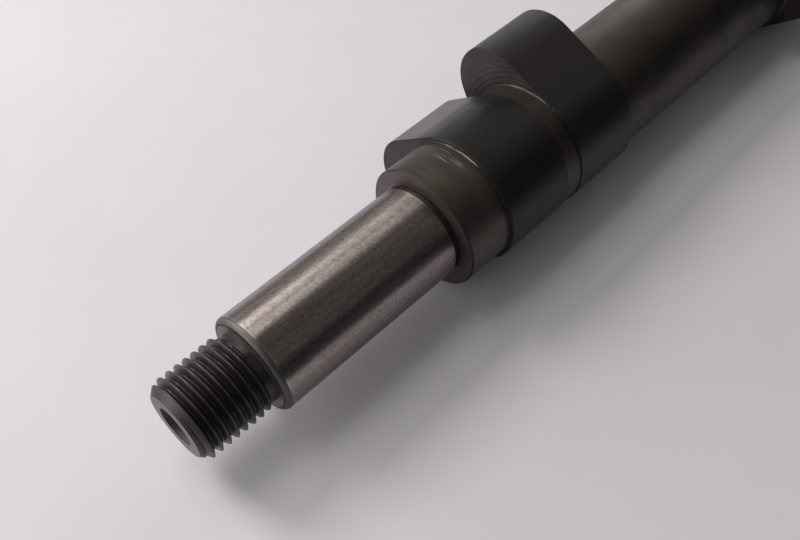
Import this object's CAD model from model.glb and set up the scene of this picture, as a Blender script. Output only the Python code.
# %% [markdown]
# # A camshaft on white paper
#
# A camshaft starts as one steel bar. A lathe turns the round parts, a grinder finishes the
# cams and the journals, and the whole shaft is blackened before the journals are ground
# bright. This notebook builds that one piece, gives each surface the finish its machine
# leaves, and lights it like something laid on a sheet of paper beside a window.

from math import cos, pi, radians, sin, tan

import bpy
from mathutils import Matrix, Vector


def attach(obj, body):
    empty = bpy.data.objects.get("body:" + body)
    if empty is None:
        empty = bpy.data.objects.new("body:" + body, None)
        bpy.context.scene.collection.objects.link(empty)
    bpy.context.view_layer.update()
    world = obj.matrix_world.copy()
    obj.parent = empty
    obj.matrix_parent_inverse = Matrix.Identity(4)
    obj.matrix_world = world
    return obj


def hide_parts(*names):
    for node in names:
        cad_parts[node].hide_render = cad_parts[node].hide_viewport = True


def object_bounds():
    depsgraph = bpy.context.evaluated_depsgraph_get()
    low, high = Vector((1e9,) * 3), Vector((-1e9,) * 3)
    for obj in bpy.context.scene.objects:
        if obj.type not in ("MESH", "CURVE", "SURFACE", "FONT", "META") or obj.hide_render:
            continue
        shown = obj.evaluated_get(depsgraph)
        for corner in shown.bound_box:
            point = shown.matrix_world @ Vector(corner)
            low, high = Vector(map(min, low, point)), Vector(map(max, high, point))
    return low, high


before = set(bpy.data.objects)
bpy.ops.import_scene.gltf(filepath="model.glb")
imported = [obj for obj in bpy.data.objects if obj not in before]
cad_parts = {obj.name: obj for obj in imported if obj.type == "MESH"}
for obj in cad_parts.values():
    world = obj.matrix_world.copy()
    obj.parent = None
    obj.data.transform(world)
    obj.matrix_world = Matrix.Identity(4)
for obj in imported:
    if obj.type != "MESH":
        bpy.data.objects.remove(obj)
cad_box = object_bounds()
print("frame nodes:", sorted(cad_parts))
print("CAD box in mm:", [[round(v * 1000, 1) for v in corner] for corner in cad_box])

# %% [markdown]
# ## Sizes
#
# Blender works in metres here, but a shaft is easier to read in millimetres, so sizes are
# written in millimetres and `mm` turns them into metres. The origin is on the axis, in the
# middle of the ground front journal, and X runs from the threaded nose to the far end.

# %% Sizes of the shaft
mm = 0.001

JOURNAL_R = 8.5
JOURNAL_LEN = 34.6
JOURNAL_ROUND = 1.0
THREAD_R = 6.95
THREAD_PITCH = 1.5
THREAD_DEPTH = 0.98
THREAD_START = 0.2
THREAD_LEN = 11.8
THREAD_CHAMFER = 1.45
THREAD_ROWS = 15           # points of the walk in one pitch
CREST_SHARE = 0.06         # shares of the way from crest to root where the flank
ROOT_SHARE = 0.90          # begins and ends
THREAD_SHOWS = 0.09        # a cut deeper than this shows the thread's own finish
NECK_LEN = 1.9
NECK_R = 6.2
NECK_STEPS = 8
GROOVE_LEN = 1.2
GROOVE_DEPTH = 0.7
COLLAR_R = 11.2
COLLAR_LEN = 8.8
COLLAR_CHAMFER = 0.25
JOURNAL_RIM = 0.15
FRONT_RIM = 0.3
GROOVE_RIM = 0.15
SPACER_R = 11.8
SPACER_LEN = 3.3
SHAFT_R = 11.1
SHAFT_LEN = 53.0
STUB_LEN = 6.0
REAR_R = 8.5
REAR_LEN = 22.0
REAR_CHAMFER = 1.0
ROOT_R = 0.5
FIRST_SCRUBBED_R = 0.22
SECOND_SCRUBBED_R = 0.3
CENTRE_MOUTH_R = 3.35
CENTRE_PILOT_R = 1.575
CENTRE_DEPTH = 6.6
CENTRE_HALF_ANGLE = 30     # of the mouth, in degrees
DRILL_HALF_ANGLE = 59      # of the pilot's tip, in degrees

CAM_WIDTH = 14.5
CAM_EDGE = 0.2
CAM_BASE_R = 12.0
FIRST_RING_R = 12.05
RING_PITCH = 1.0
RING_HALF = 0.24
RING_DEPTHS = (0.06, 0.055, 0.05, 0.04, 0.03, 0.02, 0.02)
RING_FADE = 0.15           # a ring fades out this near to the cam's outline
RUBBED_START = 3.2
RUBBED_END = 1.2
SPACER_REST = 1.0

AROUND = 288               # points round the shaft
FINE_STEP = 2.0            # between points along the shaft
COARSE_STEP = 3.0
SEAM_GAP = 0.002
SMOOTH_ANGLE = 28          # an edge that turns less than this, in degrees, is shaded smooth

x_groove = JOURNAL_LEN / 2
x_front = -JOURNAL_LEN / 2 - JOURNAL_ROUND
x_neck = x_front - NECK_LEN
x_nose = x_neck - THREAD_LEN
x_collar = x_groove + GROOVE_LEN
x_cam_a = x_collar + COLLAR_LEN
x_spacer = x_cam_a + CAM_WIDTH
x_cam_b = x_spacer + SPACER_LEN
x_shaft = x_cam_b + CAM_WIDTH
x_cam_c = x_shaft + SHAFT_LEN
x_stub = x_cam_c + CAM_WIDTH
x_rear = x_stub + STUB_LEN
x_end = x_rear + REAR_LEN
print("the shaft runs from", round(x_nose, 1), "to", round(x_end, 1), "mm")

# %% [markdown]
# ## Finishes and where they go
#
# The shaft is described as a walk along its half profile. Each stretch of the walk ends in a
# point (x, radius) and carries the name of the finish that its machine left. Where the walk
# goes over a cam, the radius is not one number: it changes with the angle round the shaft.
# Such a point names its cam, and the radius says only how far the edge is drawn in.

# %% The walk along the profile
FINISHES = ["turned_end", "nose_cone", "centre_hole", "oiled_thread", "thread_crest",
            "faced_front", "rounded_front", "ground_journal", "journal_rim", "relief",
            "groove_rim", "collar_face", "black_turned", "collar", "rubbed_collar", "dark_edge",
            "cam_face", "first_track", "cam_track", "cam_edge", "scrubbed", "half_scrubbed"]
BEYOND = 99.0      # a radius outside every cam, where the cam's outline decides
walk = []


def to(x, radius, finish, cam=0, inset=0.0, thread=0.0, sink=0.0):
    """One more point of the walk, and the finish of the stretch that leads to it."""
    walk.append((x, radius, cam, inset, thread, FINISHES.index(finish), sink))


def along(x0, x1, radius, finish, step, thread=0.0):
    """Evenly spaced points along a cylinder, so that its surface can carry detail."""
    count = max(1, round((x1 - x0) / step))
    for i in range(1, count + 1):
        to(x0 + (x1 - x0) * i / count, radius, finish, thread=thread)


def rounding(x, radius, size, start, finish, steps=8):
    """A quarter round from a face at x out to the cylinder.

    The first quarter of it has the start finish, the rest has the other.
    """
    for i in range(1, steps + 1):
        a = pi / 2 * i / steps
        to(x + size * (1 - cos(a)), radius - size + size * sin(a),
           start if i <= steps / 4 else finish)


def hollow(x, radius, size, finish, rising, cam=0, steps=4):
    """A fillet between a cylinder and a face that rises or falls at x, no higher than the cam."""
    for i in range(1, steps + 1):
        a = pi / 2 * i / steps
        if rising:
            to(x - size + size * sin(a), radius + size - size * cos(a), finish, cam, CAM_EDGE)
        else:
            to(x + size * (1 - cos(a)), radius + size * (1 - sin(a)), finish, cam, CAM_EDGE)


def centre_hole_points(x, inward):
    """The lathe centre hole, from its tip out to its mouth."""
    cone = (CENTRE_MOUTH_R - CENTRE_PILOT_R) / tan(radians(CENTRE_HALF_ANGLE))
    tip = CENTRE_DEPTH + CENTRE_PILOT_R / tan(radians(DRILL_HALF_ANGLE))
    return [(x + inward * tip, 0.0), (x + inward * CENTRE_DEPTH, CENTRE_PILOT_R),
            (x + inward * cone, CENTRE_PILOT_R), (x, CENTRE_MOUTH_R)]


def side_rings(root, share):
    """Points (radius, depth) up a cam's side, through the rings that facing left in it."""
    points = []
    for i, depth in enumerate(RING_DEPTHS):
        middle = FIRST_RING_R + RING_PITCH * i
        points += [(middle - RING_HALF, 0.0), (middle, depth * share), (middle + RING_HALF, 0.0)]
    return [p for p in points if p[0] > root + 0.05]


def cam(number, x, before, after, near_rings=1.0, far_rings=1.0):
    """A cam: up its near side, over its track, down its far side."""
    for r, depth in side_rings(before, near_rings):
        to(x, r, "cam_face", number, CAM_EDGE, sink=depth)
    to(x, BEYOND, "cam_face", number, CAM_EDGE)
    to(x + CAM_EDGE, BEYOND, "cam_edge", number)
    to(x + CAM_WIDTH - CAM_EDGE, BEYOND, "first_track" if number == 1 else "cam_track", number)
    to(x + CAM_WIDTH, BEYOND, "cam_edge", number, CAM_EDGE)
    for r, depth in reversed(side_rings(after, far_rings)):
        to(x + CAM_WIDTH, r, "cam_face", number, CAM_EDGE, sink=-depth)
    to(x + CAM_WIDTH, after, "cam_face", number, CAM_EDGE)


def scrubbed_root(number, x, radius, size, finish, rubbed):
    """A small fillet beside a cam, rubbed by the wheel that ground the cam."""
    to(x - size, radius, finish)
    hollow(x, radius, size, rubbed, rising=True, cam=number)


# %% Walk the nose, the thread and the front journal
for x, r in centre_hole_points(x_nose, 1):
    to(x, r, "centre_hole")
to(x_nose, THREAD_R - THREAD_CHAMFER, "turned_end")
thread_step = THREAD_PITCH / THREAD_ROWS
cone_steps = round(THREAD_CHAMFER / thread_step)
for i in range(1, cone_steps + 1):
    share = i / cone_steps
    to(x_nose + THREAD_CHAMFER * share, THREAD_R - THREAD_CHAMFER * (1 - share),
       "nose_cone", thread=1.0)
along(x_nose + THREAD_CHAMFER, x_neck, THREAD_R, "thread_crest", thread_step, thread=1.0)
for i in range(1, NECK_STEPS + 1):
    run_out = (THREAD_R - NECK_R) * i / NECK_STEPS
    to(x_neck + run_out, THREAD_R - run_out, "oiled_thread", thread=1.0)
to(x_front, NECK_R, "oiled_thread")
to(x_front, JOURNAL_R - JOURNAL_ROUND, "faced_front")
rounding(x_front, JOURNAL_R, JOURNAL_ROUND, "dark_edge", "rounded_front")
x_bright = x_front + JOURNAL_ROUND + FRONT_RIM
to(x_bright, JOURNAL_R, "journal_rim")
along(x_bright, x_groove - JOURNAL_RIM, JOURNAL_R, "ground_journal", FINE_STEP)
to(x_groove, JOURNAL_R, "journal_rim")

# %% Walk the collar, the cams, the shaft and the far journal
to(x_groove, JOURNAL_R - GROOVE_DEPTH, "relief")
to(x_collar, JOURNAL_R - GROOVE_DEPTH, "relief")
to(x_collar, JOURNAL_R, "relief")
to(x_collar, JOURNAL_R + GROOVE_RIM, "groove_rim")
to(x_collar, COLLAR_R - COLLAR_CHAMFER, "collar_face")
to(x_collar + COLLAR_CHAMFER, COLLAR_R, "dark_edge")
along(x_collar + COLLAR_CHAMFER, x_cam_a - RUBBED_START, COLLAR_R, "collar", FINE_STEP)
to(x_cam_a - RUBBED_END, COLLAR_R, "rubbed_collar")
scrubbed_root(1, x_cam_a, COLLAR_R, FIRST_SCRUBBED_R, "collar", "scrubbed")
cam(1, x_cam_a, COLLAR_R, SPACER_R, near_rings=0.25)
along(x_spacer, x_cam_b - SPACER_REST, SPACER_R, "black_turned", FINE_STEP)
scrubbed_root(2, x_cam_b, SPACER_R, SECOND_SCRUBBED_R, "black_turned", "half_scrubbed")
cam(2, x_cam_b, SPACER_R + SECOND_SCRUBBED_R, SHAFT_R + ROOT_R, near_rings=0.55)
hollow(x_shaft, SHAFT_R, ROOT_R, "black_turned", rising=False)
along(x_shaft + ROOT_R, x_cam_c - ROOT_R, SHAFT_R, "black_turned", COARSE_STEP)
hollow(x_cam_c, SHAFT_R, ROOT_R, "black_turned", rising=True)
cam(3, x_cam_c, SHAFT_R + ROOT_R, SHAFT_R + ROOT_R)
hollow(x_stub, SHAFT_R, ROOT_R, "black_turned", rising=False)
to(x_rear - COLLAR_CHAMFER, SHAFT_R, "black_turned")
to(x_rear, SHAFT_R - COLLAR_CHAMFER, "dark_edge")
to(x_rear, REAR_R, "black_turned")
along(x_rear, x_end - REAR_CHAMFER, REAR_R, "ground_journal", COARSE_STEP)
to(x_end, REAR_R - REAR_CHAMFER, "turned_end")
for x, r in reversed(centre_hole_points(x_end, -1)):
    to(x, r, "turned_end" if r == CENTRE_MOUTH_R else "centre_hole")
print("the walk has", len(walk), "points")

# %% The walk as a mesh of points that a node tree can read
profile = bpy.data.meshes.new("shaft profile")
profile.from_pydata([(p[0] * mm, 0.0, p[1] * mm) for p in walk], [], [])
for name, kind, column in (("cam", "INT", 2), ("inset", "FLOAT", 3), ("thread", "FLOAT", 4),
                           ("finish", "INT", 5), ("sink", "FLOAT", 6)):
    values = profile.attributes.new(name, kind, "POINT")
    scale = mm if name in ("inset", "sink") else 1
    values.data.foreach_set("value", [p[column] * scale for p in walk])
profile_object = bpy.data.objects.new("shaft profile", profile)
bpy.context.scene.collection.objects.link(profile_object)

# %% [markdown]
# ## The shaft as a lathe form
#
# A plain lathe form has one radius at each place along its axis. A camshaft is nearly that:
# only at the cams, and along the thread, does the radius also change with the angle. So one
# Geometry Nodes tree can make all of it. It takes a flat grid with one column for each point
# of the walk, rolls the grid round the axis, and works out the radius of every corner.
#
# Three rules give that radius. On a plain stretch it is the walk's own. On a cam it is the
# outline of two circles, base and nose, joined by straight flanks. Along the thread a groove
# is taken out that moves one pitch along the shaft for each turn round it.

# %% Small helpers for writing node trees


def new_tree(name, inputs, outputs):
    """An empty node group with named inputs and outputs."""
    tree = bpy.data.node_groups.new(name, "GeometryNodeTree")
    for title, kind, value in inputs:
        socket = tree.interface.new_socket(title, in_out="INPUT", socket_type=kind)
        if value is not None:
            socket.default_value = value
    for title, kind in outputs:
        tree.interface.new_socket(title, in_out="OUTPUT", socket_type=kind)
    return tree


class Wires:
    """Adds nodes to a tree and joins them, so that a formula stays one line."""

    def __init__(self, tree):
        self.tree = tree
        self.inside = tree.nodes.new("NodeGroupInput")

    def feed(self, socket, value):
        """Joins a socket to another, or gives it a plain value."""
        if isinstance(value, bpy.types.NodeSocket):
            self.tree.links.new(value, socket)
        elif value is not None:
            socket.default_value = value

    def given(self, name):
        """One of the tree's own inputs."""
        return self.inside.outputs[name]

    def math(self, operation, *values):
        """One step of arithmetic."""
        node = self.tree.nodes.new("ShaderNodeMath")
        node.operation = operation
        for socket, value in zip(node.inputs, values):
            self.feed(socket, value)
        return node.outputs[0]

    def pick(self, condition, no, yes):
        """One of two values, by a condition."""
        node = self.tree.nodes.new("GeometryNodeSwitch")
        node.input_type = "FLOAT"
        self.feed(node.inputs["Switch"], condition)
        self.feed(node.inputs["False"], no)
        self.feed(node.inputs["True"], yes)
        return node.outputs[0]

    def group(self, tree, **values):
        """Another tree used as one node, with _ for a space."""
        node = self.tree.nodes.new("GeometryNodeGroup")
        node.node_tree = tree
        for title, value in values.items():
            self.feed(node.inputs[title.replace("_", " ")], value)
        return node.outputs[0]

    def out(self, **values):
        """The tree's own outputs."""
        node = self.tree.nodes.new("NodeGroupOutput")
        for title, value in values.items():
            self.feed(node.inputs[title.replace("_", " ")], value)


# %% [markdown]
# The outline of a cam in polar form. `Away` is how far round a point is from the tip of the
# nose. Near the tip the outline is the nose circle, further round it is the straight flank,
# and past the point where the flank meets the base circle it is the base circle.

# %% Rule for a cam outline
F = "NodeSocketFloat"
cam_outline = new_tree(
    "Cam outline",
    [("Angle", F, 0.0), ("Nose direction", F, 0.0), ("Base radius", F, CAM_BASE_R * mm),
     ("Nose radius", F, 0.0), ("Nose offset", F, 0.0), ("Inset", F, 0.0)],
    [("Radius", F)])
w = Wires(cam_outline)
turned = w.math("SUBTRACT", w.given("Angle"), w.given("Nose direction"))
away = w.math("ABSOLUTE", w.math("WRAP", turned, pi, -pi))
base_r = w.math("SUBTRACT", w.given("Base radius"), w.given("Inset"))
nose_r = w.math("SUBTRACT", w.given("Nose radius"), w.given("Inset"))
offset = w.given("Nose offset")
flank_end = w.math("ARCCOSINE", w.math("DIVIDE", w.math("SUBTRACT", base_r, nose_r), offset))
nose_up = w.math("MULTIPLY", nose_r, w.math("SINE", flank_end))
nose_on = w.math("ADD", offset, w.math("MULTIPLY", nose_r, w.math("COSINE", flank_end)))
flank_start = w.math("ARCTAN2", nose_up, nose_on)
on_flank = w.math("DIVIDE", base_r, w.math("COSINE", w.math("SUBTRACT", flank_end, away)))
across = w.math("MULTIPLY", offset, w.math("SINE", away))
under_root = w.math("SUBTRACT", w.math("MULTIPLY", nose_r, nose_r),
                    w.math("MULTIPLY", across, across))
on_nose = w.math("ADD", w.math("MULTIPLY", offset, w.math("COSINE", away)),
                 w.math("SQRT", w.math("MAXIMUM", under_root, 0.0)))
outer = w.pick(w.math("LESS_THAN", away, flank_start), on_flank, on_nose)
w.out(Radius=w.pick(w.math("LESS_THAN", away, flank_end), base_r, outer))
print("cam outline:", len(cam_outline.nodes), "nodes")

# %% [markdown]
# The thread groove. Seen from the side a screw thread is a row of teeth, and round the shaft
# each tooth slides one pitch along. Subtracting the angle, as a share of a turn, from the
# place along the axis makes that slide. Straight flanks join a narrow crest to a narrow root.

# %% Rule for the thread groove
thread_cut = new_tree(
    "Thread cut",
    [("Along", F, 0.0), ("Angle", F, 0.0), ("Start", F, THREAD_START * mm),
     ("Pitch", F, THREAD_PITCH * mm), ("Depth", F, THREAD_DEPTH * mm)],
    [("Cut", F)])
w = Wires(thread_cut)
from_start = w.math("SUBTRACT", w.given("Along"), w.given("Start"))
turns = w.math("SUBTRACT", w.math("DIVIDE", from_start, w.given("Pitch")),
               w.math("DIVIDE", w.given("Angle"), 2 * pi))
from_crest = w.math("MULTIPLY", w.math("ABSOLUTE", w.math("WRAP", turns, 0.5, -0.5)), 2.0)
flank = w.tree.nodes.new("ShaderNodeMapRange")
w.feed(flank.inputs["Value"], from_crest)
flank.inputs["From Min"].default_value = CREST_SHARE
flank.inputs["From Max"].default_value = ROOT_SHARE
w.out(Cut=w.math("MULTIPLY", flank.outputs[0], w.given("Depth")))

# %% Rule for the whole shaft
cam_sizes = [  # nose direction in degrees, nose radius, nose offset
    (-19.471, 8.6, 10.2),
    (42.0, 8.25, 11.05),
    (157.5, 8.6, 10.2),
]
inputs = [("Profile", "NodeSocketObject", None), ("Segments", "NodeSocketInt", AROUND),
          ("Base radius", F, CAM_BASE_R * mm), ("Crest radius", F, THREAD_R * mm),
          ("Thread pitch", F, THREAD_PITCH * mm), ("Thread depth", F, THREAD_DEPTH * mm)]
for number, (direction, r, off) in enumerate(cam_sizes, 1):
    inputs += [(f"Cam {number} direction", F, radians(direction)),
               (f"Cam {number} nose radius", F, r * mm),
               (f"Cam {number} nose offset", F, off * mm)]
inputs += [(f"Finish {name}", "NodeSocketMaterial", None) for name in FINISHES]
lathe = new_tree("Camshaft lathe", inputs, [("Geometry", "NodeSocketGeometry")])
w = Wires(lathe)
nodes, links = lathe.nodes, lathe.links

source = nodes.new("GeometryNodeObjectInfo")
w.feed(source.inputs["Object"], w.given("Profile"))
counted = nodes.new("GeometryNodeAttributeDomainSize")
links.new(source.outputs["Geometry"], counted.inputs[0])
rows = w.math("ADD", w.given("Segments"), 1.0)
grid = nodes.new("GeometryNodeMeshGrid")
links.new(counted.outputs["Point Count"], grid.inputs["Vertices X"])
links.new(rows, grid.inputs["Vertices Y"])

index = nodes.new("GeometryNodeInputIndex").outputs[0]
station = w.math("FLOOR", w.math("DIVIDE", w.math("ADD", index, 0.5), rows))
step_round = w.math("SUBTRACT", index, w.math("MULTIPLY", station, rows))
angle = w.math("MULTIPLY", w.math("DIVIDE", step_round, w.given("Segments")), 2 * pi)


def read(kind, value_socket):
    """A value of the walk's point at this column of the grid."""
    node = nodes.new("GeometryNodeSampleIndex")
    node.data_type = kind
    links.new(source.outputs["Geometry"], node.inputs["Geometry"])
    links.new(value_socket, node.inputs["Value"])
    links.new(station, node.inputs["Index"])
    return node.outputs["Value"]


def named(name, kind):
    """A named attribute of the geometry that the node works on."""
    node = nodes.new("GeometryNodeInputNamedAttribute")
    node.data_type = kind
    node.inputs["Name"].default_value = name
    return node.outputs["Attribute"]


place = nodes.new("ShaderNodeSeparateXYZ")
here = read("FLOAT_VECTOR", nodes.new("GeometryNodeInputPosition").outputs[0])
links.new(here, place.inputs[0])
x_here, r_here = place.outputs["X"], place.outputs["Z"]
cam_here = read("INT", named("cam", "INT"))
inset_here = read("FLOAT", named("inset", "FLOAT"))
thread_here = read("FLOAT", named("thread", "FLOAT"))
finish_here = read("INT", named("finish", "INT"))
sink_here = read("FLOAT", named("sink", "FLOAT"))

# the thread never cuts deeper than its root, and never stands above the chamfer
cut = w.group(thread_cut, Along=x_here, Angle=angle, Pitch=w.given("Thread pitch"),
              Depth=w.given("Thread depth"))
threaded = w.math("MINIMUM", r_here, w.math("SUBTRACT", w.given("Crest radius"), cut))
plain = w.pick(w.math("GREATER_THAN", thread_here, 0.5), r_here, threaded)

# beside and over a cam the outline is the limit; a ring fades out where it meets the outline
limit = r_here
for number in (1, 2, 3):
    outline = w.group(
        cam_outline, Angle=angle, Nose_direction=w.given(f"Cam {number} direction"),
        Base_radius=w.given("Base radius"), Nose_radius=w.given(f"Cam {number} nose radius"),
        Nose_offset=w.given(f"Cam {number} nose offset"), Inset=inset_here)
    limit = w.pick(w.math("COMPARE", cam_here, float(number), 0.1), limit, outline)
radius = w.math("MINIMUM", plain, limit)
room = w.math("DIVIDE", w.math("SUBTRACT", limit, r_here), RING_FADE * mm)
full = w.math("MINIMUM", w.math("MAXIMUM", room, 0.0), 1.0)
x_sunk = w.math("ADD", x_here, w.math("MULTIPLY", sink_here, full))

rolled = nodes.new("ShaderNodeCombineXYZ")
links.new(x_sunk, rolled.inputs["X"])
w.feed(rolled.inputs["Y"], w.math("MULTIPLY", radius, w.math("COSINE", angle)))
w.feed(rolled.inputs["Z"], w.math("MULTIPLY", radius, w.math("SINE", angle)))

kept = nodes.new("GeometryNodeCaptureAttribute")
kept.domain = "POINT"
kept.capture_items.new("FLOAT", "station")
kept.capture_items.new("INT", "finish")
kept.capture_items.new("FLOAT", "cut below")
links.new(grid.outputs["Mesh"], kept.inputs["Geometry"])
links.new(station, kept.inputs["station"])
links.new(finish_here, kept.inputs["finish"])
links.new(w.math("SUBTRACT", r_here, plain), kept.inputs["cut below"])
moved = nodes.new("GeometryNodeSetPosition")
links.new(kept.outputs["Geometry"], moved.inputs["Geometry"])
links.new(rolled.outputs[0], moved.inputs["Position"])

# a face takes the finish of the stretch it lies on: the largest of its corners' stations
stored = nodes.new("GeometryNodeStoreNamedAttribute")
stored.data_type = "FLOAT"
stored.domain = "FACE"
stored.inputs["Name"].default_value = "station"
links.new(moved.outputs[0], stored.inputs["Geometry"])
links.new(w.math("CEIL", kept.outputs["station"]), stored.inputs["Value"])

# and where the thread tool has cut below the walk, the face shows the thread's finish
grooved = nodes.new("GeometryNodeStoreNamedAttribute")
grooved.data_type = "FLOAT"
grooved.domain = "FACE"
grooved.inputs["Name"].default_value = "cut below"
links.new(stored.outputs["Geometry"], grooved.inputs["Geometry"])
links.new(kept.outputs["cut below"], grooved.inputs["Value"])

seam = nodes.new("GeometryNodeMergeByDistance")
seam.inputs["Distance"].default_value = SEAM_GAP * mm
links.new(grooved.outputs["Geometry"], seam.inputs["Geometry"])

# rolling the grid up turned its upper side to the inside, so the faces are flipped
outward = nodes.new("GeometryNodeFlipFaces")
links.new(seam.outputs["Geometry"], outward.inputs["Mesh"])

edge_angle = nodes.new("GeometryNodeInputMeshEdgeAngle")
smooth = nodes.new("GeometryNodeSetShadeSmooth")
smooth.domain = "EDGE"
links.new(outward.outputs["Mesh"], smooth.inputs["Geometry"])
links.new(w.math("LESS_THAN", edge_angle.outputs["Unsigned Angle"], radians(SMOOTH_ANGLE)),
          smooth.inputs["Shade Smooth"])

solid = nodes.new("GeometryNodeRealizeInstances")
links.new(smooth.outputs["Geometry"], solid.inputs["Geometry"])
flow = solid.outputs["Geometry"]
face_station = named("station", "FLOAT")
finish_of_face = nodes.new("GeometryNodeSampleIndex")
finish_of_face.data_type = "INT"
links.new(source.outputs["Geometry"], finish_of_face.inputs["Geometry"])
links.new(named("finish", "INT"), finish_of_face.inputs["Value"])
links.new(face_station, finish_of_face.inputs["Index"])
for number, name in enumerate(FINISHES):
    painted = nodes.new("GeometryNodeSetMaterial")
    links.new(flow, painted.inputs["Geometry"])
    w.feed(painted.inputs["Selection"],
           w.math("COMPARE", finish_of_face.outputs["Value"], float(number), 0.1))
    w.feed(painted.inputs["Material"], w.given(f"Finish {name}"))
    flow = painted.outputs["Geometry"]
dark_groove = nodes.new("GeometryNodeSetMaterial")
links.new(flow, dark_groove.inputs["Geometry"])
w.feed(dark_groove.inputs["Selection"],
       w.math("GREATER_THAN", named("cut below", "FLOAT"), THREAD_SHOWS * mm))
w.feed(dark_groove.inputs["Material"], w.given("Finish oiled_thread"))
w.out(Geometry=dark_groove.outputs["Geometry"])
print("lathe tree:", len(nodes), "nodes")

# %% [markdown]
# ## Finishes
#
# Every finish here is steel, so they differ in how the last tool left the surface. Turning
# leaves rings, grinding leaves short scratches round the part, and blackening gives a thin
# dark skin over either. All the patterns are worked out from the place on the object in
# metres, so they keep their size whatever the view.

# %% Helpers for the steel finishes
FACING_RINGS = 3300        # rings in a metre on a turned face
CAM_RINGS = 4000           # and on the side of a cam


def steel(name, colour, roughness, metallic=1.0, **sockets):
    """A steel material with its shader, ready for pattern nodes."""
    material = bpy.data.materials.new(name)
    material.use_nodes = True
    shader = material.node_tree.nodes["Principled BSDF"]
    shader.inputs["Base Color"].default_value = (*colour, 1.0)
    shader.inputs["Roughness"].default_value = roughness
    shader.inputs["Metallic"].default_value = metallic
    for title, value in sockets.items():
        shader.inputs[title.replace("_", " ")].default_value = value
    return material, shader


def shader_node(material, kind, **settings):
    """A new node in a material, with its settings."""
    node = material.node_tree.nodes.new(kind)
    for title, value in settings.items():
        setattr(node, title, value)
    return node


def stretched(material, across, around):
    """Object coordinates stretched so that a pattern runs round the shaft.

    `across` is features per metre along the axis, `around` is features per metre round it.
    """
    where = shader_node(material, "ShaderNodeTexCoord")
    scaled = shader_node(material, "ShaderNodeMapping")
    scaled.inputs["Scale"].default_value = (across, around, around)
    material.node_tree.links.new(where.outputs["Object"], scaled.inputs["Vector"])
    return scaled.outputs["Vector"]


def noise(material, vector, detail=3.0, roughness=0.6):
    """A noise pattern with one feature per unit of the vector."""
    node = shader_node(material, "ShaderNodeTexNoise")
    node.inputs["Scale"].default_value = 1.0
    node.inputs["Detail"].default_value = detail
    node.inputs["Roughness"].default_value = roughness
    material.node_tree.links.new(vector, node.inputs["Vector"])
    return node.outputs["Fac"]


def ramp(material, value, low, high, colour_low, colour_high):
    """Blends two colours where the value passes from low to high."""
    node = shader_node(material, "ShaderNodeValToRGB")
    node.color_ramp.elements[0].position = low
    node.color_ramp.elements[1].position = high
    node.color_ramp.elements[0].color = (*colour_low, 1.0)
    node.color_ramp.elements[1].color = (*colour_high, 1.0)
    material.node_tree.links.new(value, node.inputs["Fac"])
    return node.outputs["Color"]


def blended(material, share, colour, other):
    """Lays a second colour over a first one where share is 1."""
    node = shader_node(material, "ShaderNodeMix", data_type="RGBA")
    side = {socket.identifier: socket for socket in node.inputs}
    material.node_tree.links.new(share, side["Factor_Float"])
    material.node_tree.links.new(colour, side["A_Color"])
    side["B_Color"].default_value = (*other, 1.0)
    return next(s for s in node.outputs if s.identifier == "Result_Color")


def spread(material, value, low, high):
    """Turns a 0 to 1 pattern into a number between low and high."""
    node = shader_node(material, "ShaderNodeMapRange")
    node.inputs["From Min"].default_value = 0.3
    node.inputs["From Max"].default_value = 0.7
    node.inputs["To Min"].default_value = low
    node.inputs["To Max"].default_value = high
    material.node_tree.links.new(value, node.inputs["Value"])
    return node.outputs["Result"]


def bump(material, shader, height, depth, strength=1.0, under=None):
    """Tilts the shading normal by a height pattern whose full depth is in metres."""
    node = shader_node(material, "ShaderNodeBump")
    node.inputs["Strength"].default_value = strength
    node.inputs["Distance"].default_value = depth
    material.node_tree.links.new(height, node.inputs["Height"])
    if under is not None:
        material.node_tree.links.new(under, node.inputs["Normal"])
    material.node_tree.links.new(node.outputs["Normal"], shader.inputs["Normal"])
    return node.outputs["Normal"]


def upward(material, low, high):
    """0 below one height on the object and 1 above another, with heights in metres."""
    where = shader_node(material, "ShaderNodeTexCoord")
    split = shader_node(material, "ShaderNodeSeparateXYZ")
    share = shader_node(material, "ShaderNodeMapRange")
    share.inputs["From Min"].default_value = low
    share.inputs["From Max"].default_value = high
    material.node_tree.links.new(where.outputs["Object"], split.inputs[0])
    material.node_tree.links.new(split.outputs["Z"], share.inputs["Value"])
    return share.outputs["Result"]


def from_axis(material):
    """Distance from the axis, in metres."""
    where = shader_node(material, "ShaderNodeTexCoord")
    flat = shader_node(material, "ShaderNodeVectorMath", operation="MULTIPLY")
    flat.inputs[1].default_value = (0.0, 1.0, 1.0)
    length = shader_node(material, "ShaderNodeVectorMath", operation="LENGTH")
    material.node_tree.links.new(where.outputs["Object"], flat.inputs[0])
    material.node_tree.links.new(flat.outputs["Vector"], length.inputs[0])
    return length.outputs["Value"]


def rings_from_axis(material, per_metre):
    """Rings round the axis, as a facing tool leaves on an end face."""
    turns = shader_node(material, "ShaderNodeMath", operation="MULTIPLY")
    turns.inputs[1].default_value = per_metre * 2 * pi
    wave = shader_node(material, "ShaderNodeMath", operation="SINE")
    material.node_tree.links.new(from_axis(material), turns.inputs[0])
    material.node_tree.links.new(turns.outputs[0], wave.inputs[0])
    return wave.outputs[0]


def along_shaft(material, shader):
    """Points the stretched highlight along the shaft, across the scratches."""
    axis = shader_node(material, "ShaderNodeCombineXYZ")
    axis.inputs["X"].default_value = 1.0
    turn = shader_node(material, "ShaderNodeVectorTransform", vector_type="VECTOR",
                       convert_from="OBJECT", convert_to="WORLD")
    material.node_tree.links.new(axis.outputs[0], turn.inputs[0])
    material.node_tree.links.new(turn.outputs[0], shader.inputs["Tangent"])


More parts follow.
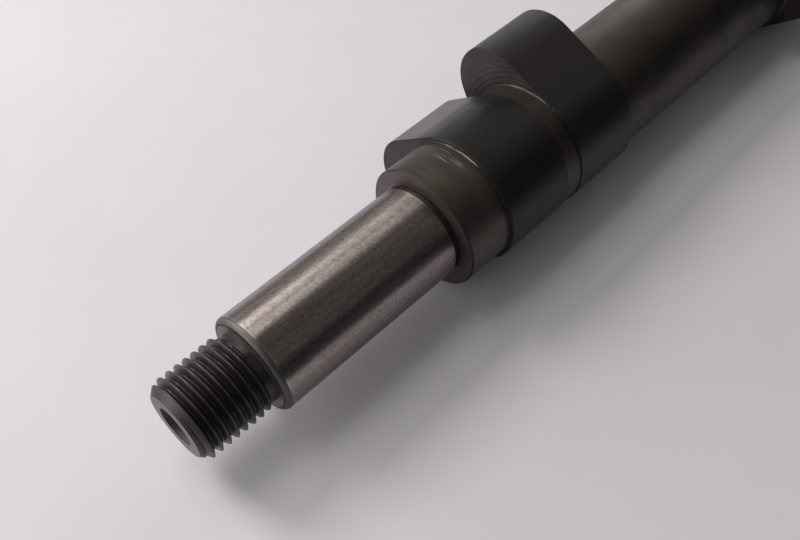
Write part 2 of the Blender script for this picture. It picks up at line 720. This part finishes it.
# %% Ground steel, for the two journals
def ground_steel(name, dark, light):
    """Ground steel between two tones, mottled and streaked round the shaft."""
    material, shader = steel(name, dark, 0.34, Anisotropic=0.9)
    along_shaft(material, shader)
    mottle = noise(material, stretched(material, 2300, 1700), 3.0, 0.7)
    streaks = noise(material, stretched(material, 70, 1900), 2.0)
    both = shader_node(material, "ShaderNodeMath", operation="ADD")
    material.node_tree.links.new(spread(material, mottle, 0.0, 0.7), both.inputs[0])
    material.node_tree.links.new(spread(material, streaks, 0.0, 0.3), both.inputs[1])
    colour = ramp(material, both.outputs[0], 0.2, 0.8, dark, light)
    material.node_tree.links.new(colour, shader.inputs["Base Color"])
    scratches = noise(material, stretched(material, 5200, 1500), 3.0)
    tilted = bump(material, shader, scratches, 0.008 * mm, 0.6)
    bump(material, shader, mottle, 0.020 * mm, 0.6, under=tilted)
    return material


# %% Blackened turned steel, for the collar and the plain shaft
def black_turned_steel(name, dark, light, rubbed=False):
    """Blackened turned steel between two tones.

    Where it is rubbed, short lines on its upper side are bright.
    """
    material, shader = steel(name, dark, 0.42, metallic=0.85)
    patches = noise(material, stretched(material, 160, 160), 4.0)
    colour = ramp(material, patches, 0.3, 0.75, dark, light)
    if rubbed:
        rubs = noise(material, stretched(material, 3600, 170), 2.0)
        share = shader_node(material, "ShaderNodeMath", operation="MULTIPLY")
        material.node_tree.links.new(
            ramp(material, rubs, 0.57, 0.65, (0, 0, 0), (1, 1, 1)), share.inputs[0])
        material.node_tree.links.new(upward(material, 10.6 * mm, 11.1 * mm), share.inputs[1])
        colour = blended(material, share.outputs[0], colour, (0.40, 0.37, 0.335))
    material.node_tree.links.new(colour, shader.inputs["Base Color"])
    rough = noise(material, stretched(material, 2400, 160), 3.0)
    material.node_tree.links.new(spread(material, rough, 0.36, 0.50), shader.inputs["Roughness"])
    bump(material, shader, rough, 0.006 * mm, 0.5)
    return material


# %% Oiled thread, relief groove and centre holes
def oiled_thread_steel(name, colour):
    """Dark steel under a thin coat of oil, with small specks in it."""
    material, shader = steel(name, colour, 0.38, metallic=0.45, Specular_IOR_Level=0.7)
    specks = noise(material, stretched(material, 2200, 900), 3.0)
    material.node_tree.links.new(spread(material, specks, 0.28, 0.48), shader.inputs["Roughness"])
    bump(material, shader, specks, 0.01 * mm, 0.4)
    return material


def relief_steel():
    """The groove that frees the edge of the grinding wheel."""
    material, shader = steel("Relief groove", (0.085, 0.070, 0.066), 0.46, metallic=0.8)
    lines = noise(material, stretched(material, 4000, 120), 2.0)
    bump(material, shader, lines, 0.008 * mm, 0.5)
    return material


def centre_hole_steel():
    """The dull inside of a centre hole."""
    material, shader = steel("Centre hole", (0.062, 0.042, 0.047), 0.60, metallic=0.5)
    specks = noise(material, stretched(material, 1500, 1500), 3.0)
    material.node_tree.links.new(spread(material, specks, 0.50, 0.70), shader.inputs["Roughness"])
    return material


# %% Turned end, rounded front edge, faced cam sides
def turned_end_steel():
    """The faced end of the bar."""
    material, shader = steel("Turned end", (0.165, 0.150, 0.152), 0.45, metallic=0.9)
    bump(material, shader, rings_from_axis(material, FACING_RINGS), 0.004 * mm, 0.5)
    return material


def faced_steel(name, colour):
    """A face or a cone with the rings that a facing tool leaves."""
    material, shader = steel(name, colour, 0.48, metallic=0.85)
    bump(material, shader, rings_from_axis(material, FACING_RINGS), 0.004 * mm, 0.4)
    return material


def rim_steel(name, colour, roughness):
    """A plain narrow edge."""
    return steel(name, colour, roughness)[0]


def cam_face_steel():
    """The faced and slightly stained side of a cam."""
    material, shader = steel("Faced cam side", (0.065, 0.053, 0.055), 0.5, metallic=0.8)
    stains = noise(material, stretched(material, 260, 260), 3.0)
    colour = ramp(material, stains, 0.3, 0.7, (0.052, 0.042, 0.042), (0.080, 0.066, 0.070))
    material.node_tree.links.new(colour, shader.inputs["Base Color"])
    bump(material, shader, rings_from_axis(material, CAM_RINGS), 0.004 * mm, 0.5)
    return material


# %% Cam tracks, their edges, and the scrubbed bands beside the cams
def cam_track_steel(name, base, flank):
    """A ground cam track, base where it is round and flank where the cam rises."""
    material, shader = steel(name, base, 0.38, metallic=0.85)
    rise = spread(material, from_axis(material), 0.0, 1.0)
    rise.node.inputs["From Min"].default_value = (CAM_BASE_R + 0.05) * mm
    rise.node.inputs["From Max"].default_value = (CAM_BASE_R + 0.6) * mm
    colour = ramp(material, rise, 0.0, 1.0, base, flank)
    material.node_tree.links.new(colour, shader.inputs["Base Color"])
    lines = noise(material, stretched(material, 5200, 120), 2.0)
    material.node_tree.links.new(spread(material, lines, 0.34, 0.46), shader.inputs["Roughness"])
    bump(material, shader, lines, 0.004 * mm, 0.5)
    return material


def cam_edge_steel():
    """The broken edge of a cam, worn bright in a few places."""
    material, shader = steel("Cam edge", (0.045, 0.040, 0.039), 0.42, metallic=0.85)
    wear = noise(material, stretched(material, 420, 420), 3.0)
    colour = ramp(material, wear, 0.68, 0.76, (0.022, 0.019, 0.018), (0.20, 0.18, 0.17))
    material.node_tree.links.new(colour, shader.inputs["Base Color"])
    return material


def scrubbed_steel(name, bright):
    """Blackened steel rubbed bright in patches on its upper side."""
    material, shader = steel(name, bright, 0.46)
    wear = noise(material, stretched(material, 2600, 260), 3.0)
    share = shader_node(material, "ShaderNodeMath", operation="MULTIPLY")
    material.node_tree.links.new(spread(material, wear, 0.0, 1.0), share.inputs[0])
    material.node_tree.links.new(upward(material, 10.3 * mm, 11.0 * mm), share.inputs[1])
    colour = ramp(material, share.outputs[0], 0.2, 0.9, (0.045, 0.040, 0.038), bright)
    material.node_tree.links.new(colour, shader.inputs["Base Color"])
    return material


finishes = {
    "turned_end": turned_end_steel(),
    "nose_cone": faced_steel("Nose cone", (0.062, 0.052, 0.053)),
    "centre_hole": centre_hole_steel(),
    "oiled_thread": oiled_thread_steel("Oiled thread", (0.036, 0.027, 0.032)),
    "thread_crest": oiled_thread_steel("Thread crest", (0.054, 0.045, 0.050)),
    "faced_front": faced_steel("Faced front", (0.185, 0.165, 0.165)),
    "rounded_front": faced_steel("Rounded front edge", (0.118, 0.106, 0.105)),
    "ground_journal": ground_steel("Ground steel", (0.205, 0.176, 0.165), (0.345, 0.308, 0.292)),
    "journal_rim": ground_steel("Journal rim", (0.28, 0.25, 0.238), (0.40, 0.365, 0.345)),
    "relief": relief_steel(),
    "groove_rim": rim_steel("Groove rim", (0.30, 0.25, 0.245), 0.40),
    "collar_face": faced_steel("Faced collar", (0.128, 0.106, 0.108)),
    "black_turned": black_turned_steel("Blackened turned steel", (0.050, 0.043, 0.040),
                                       (0.098, 0.081, 0.072)),
    "collar": black_turned_steel("Blackened collar", (0.079, 0.070, 0.063),
                                 (0.132, 0.115, 0.098)),
    "rubbed_collar": black_turned_steel("Rubbed collar", (0.086, 0.077, 0.069),
                                        (0.138, 0.122, 0.104), rubbed=True),
    "dark_edge": rim_steel("Dark edge", (0.042, 0.037, 0.034), 0.5),
    "cam_face": cam_face_steel(),
    "first_track": cam_track_steel("First cam track", (0.043, 0.043, 0.043),
                                   (0.19, 0.176, 0.178)),
    "cam_track": cam_track_steel("Cam track", (0.050, 0.049, 0.048), (0.053, 0.050, 0.049)),
    "cam_edge": cam_edge_steel(),
    "scrubbed": scrubbed_steel("Scrubbed band", (0.24, 0.222, 0.205)),
    "half_scrubbed": scrubbed_steel("Half scrubbed band", (0.095, 0.088, 0.082)),
}
print("finishes:", ", ".join(m.name for m in finishes.values()))

# %% Turn the shaft
shaft = bpy.data.objects.new("camshaft_steel", bpy.data.meshes.new("camshaft_steel"))
bpy.context.scene.collection.objects.link(shaft)
modifier = shaft.modifiers.new("Camshaft lathe", "NODES")
modifier.node_group = lathe
socket_of = {item.name: item.identifier for item in lathe.interface.items_tree
             if item.in_out == "INPUT"}
modifier[socket_of["Profile"]] = profile_object
for name in FINISHES:
    modifier[socket_of[f"Finish {name}"]] = finishes[name]

graph = bpy.context.evaluated_depsgraph_get()
turned_mesh = bpy.data.meshes.new_from_object(shaft.evaluated_get(graph), depsgraph=graph)
shaft.modifiers.remove(modifier)
shaft.data = turned_mesh
bpy.data.objects.remove(profile_object)
for leftover in ("station", "cut below"):
    if leftover in turned_mesh.attributes:
        turned_mesh.attributes.remove(turned_mesh.attributes[leftover])
turned_mesh.materials.pop(index=0)    # the grid's own slot, which no face uses
turned_mesh.validate()
triangles = sum(len(p.vertices) - 2 for p in turned_mesh.polygons)
print("shaft:", len(turned_mesh.vertices), "vertices,", triangles, "triangles,",
      len(turned_mesh.materials), "materials")

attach(shaft, "root")
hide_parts("camshaft")

# %% [markdown]
# ## Paper, window and camera
#
# The shaft lies on white paper, and the paper lies on a dark bench. The panes of a window
# behind the shaft and to its left are the strong light, so the paper fades towards the right
# and the shadow is broad and soft. Weaker lamps stand for the sky, a far window, the ceiling
# and the pale walls. The ground journal shows them all as bright and dark bands.

# %% Paper on a dark bench
def flat_sheet(name, low, high, below, shader_name):
    """A flat sheet between two corners in mm, a little below the shaft."""
    sheet = bpy.data.meshes.new(name)
    z = cad_box[0].z - below * mm
    sheet.from_pydata([(low[0] * mm, low[1] * mm, z), (high[0] * mm, low[1] * mm, z),
                       (high[0] * mm, high[1] * mm, z), (low[0] * mm, high[1] * mm, z)],
                      [], [(0, 1, 2, 3)])
    thing = bpy.data.objects.new(name, sheet)
    bpy.context.scene.collection.objects.link(thing)
    material = bpy.data.materials.new(shader_name)
    material.use_nodes = True
    shader = material.node_tree.nodes["Principled BSDF"]
    shader.inputs["Roughness"].default_value = 0.9
    shader.inputs["Specular IOR Level"].default_value = 0.0
    sheet.materials.append(material)
    return material, shader


paper_material, paper_shader = flat_sheet("paper", (-95, -85), (210, 165), 0.02, "Paper")
blotches = noise(paper_material, stretched(paper_material, 18, 18), 4.0)
tone = ramp(paper_material, blotches, 0.3, 0.7, (0.80, 0.787, 0.86), (0.84, 0.827, 0.90))
paper_material.node_tree.links.new(tone, paper_shader.inputs["Base Color"])
_, bench_shader = flat_sheet("bench", (-3000, -3000), (3000, 3000), 0.3, "Bench")
bench_shader.inputs["Base Color"].default_value = (0.045, 0.040, 0.038, 1.0)

# %% Window light and room light
LAMP_DISTANCE = 0.6        # metres from the origin


def soft_light(name, azimuth, elevation, width, height, radiance, colour):
    """A flat lamp that faces the origin, as bright as a surface of that radiance."""
    toward = Vector((cos(radians(elevation)) * cos(radians(azimuth)),
                     cos(radians(elevation)) * sin(radians(azimuth)), sin(radians(elevation))))
    light = bpy.data.lights.new(name, "AREA")
    light.shape = "RECTANGLE"
    light.size, light.size_y = width, height
    light.energy = radiance * pi * width * height
    light.color = colour
    lamp = bpy.data.objects.new(name, light)
    lamp.location = toward * LAMP_DISTANCE
    lamp.rotation_euler = toward.to_track_quat("Z", "Y").to_euler()
    bpy.context.scene.collection.objects.link(lamp)


daylight, warm_day, lamp_glow = (1.0, 0.96, 0.90), (1.0, 0.97, 0.93), (1.0, 0.88, 0.79)
for name, azimuth, elevation, width, height, radiance, colour in (
        ("window upper pane", 104, 42, 0.22, 0.20, 12.10, daylight),
        ("window lower pane", 104, 14, 0.25, 0.20, 3.20, daylight),
        ("window middle pane", 128, 14, 0.25, 0.20, 4.20, daylight),
        ("window side pane", 152, 14, 0.25, 0.20, 6.80, daylight),
        ("skylight", 80, 66, 0.18, 0.24, 3.50, warm_day),
        ("skylight left", 128, 66, 0.18, 0.24, 2.10, warm_day),
        ("far window", 28, 15, 0.26, 0.26, 1.95, warm_day),
        ("far sill", 46, 7, 0.24, 0.12, 1.50, warm_day),
        ("ceiling far", 10, 45, 0.24, 0.24, 0.45, lamp_glow),
        ("ceiling right", 340, 48, 0.24, 0.24, 0.31, lamp_glow),
        ("left wall", 186, 11, 0.44, 0.22, 0.75, warm_day),
        ("left ceiling", 180, 45, 0.30, 0.30, 0.90, warm_day),
        ("pale wall", 270, 45, 0.40, 0.40, 0.25, lamp_glow)):
    soft_light(name, azimuth, elevation, width, height, radiance, colour)

world = bpy.data.worlds.new("room")
bpy.context.scene.world = world
world.use_nodes = True
world.node_tree.nodes["Background"].inputs["Color"].default_value = (0.033, 0.035, 0.040, 1.0)
world.node_tree.nodes["Background"].inputs["Strength"].default_value = 1.0

# %% Camera
CAMERA_PLACE = (-52.42, -66.11, 118.27)    # in millimetres
camera_data = bpy.data.cameras.new("camera")
camera_data.sensor_width = 36.0
camera_data.lens = 41.85
camera_data.clip_start, camera_data.clip_end = 0.005, 20.0
camera = bpy.data.objects.new("camera", camera_data)
bpy.context.scene.collection.objects.link(camera)
forward = Vector((0.42197, 0.42512, -0.80076)).normalized()
right = Vector((0.70237, -0.71177, -0.00775)).normalized()
up = right.cross(forward).normalized()
camera.matrix_world = Matrix((
    (right.x, up.x, -forward.x, CAMERA_PLACE[0] * mm),
    (right.y, up.y, -forward.y, CAMERA_PLACE[1] * mm),
    (right.z, up.z, -forward.z, CAMERA_PLACE[2] * mm),
    (0.0, 0.0, 0.0, 1.0)))
bpy.context.scene.camera = camera
bpy.context.scene.view_settings.view_transform = "Standard"
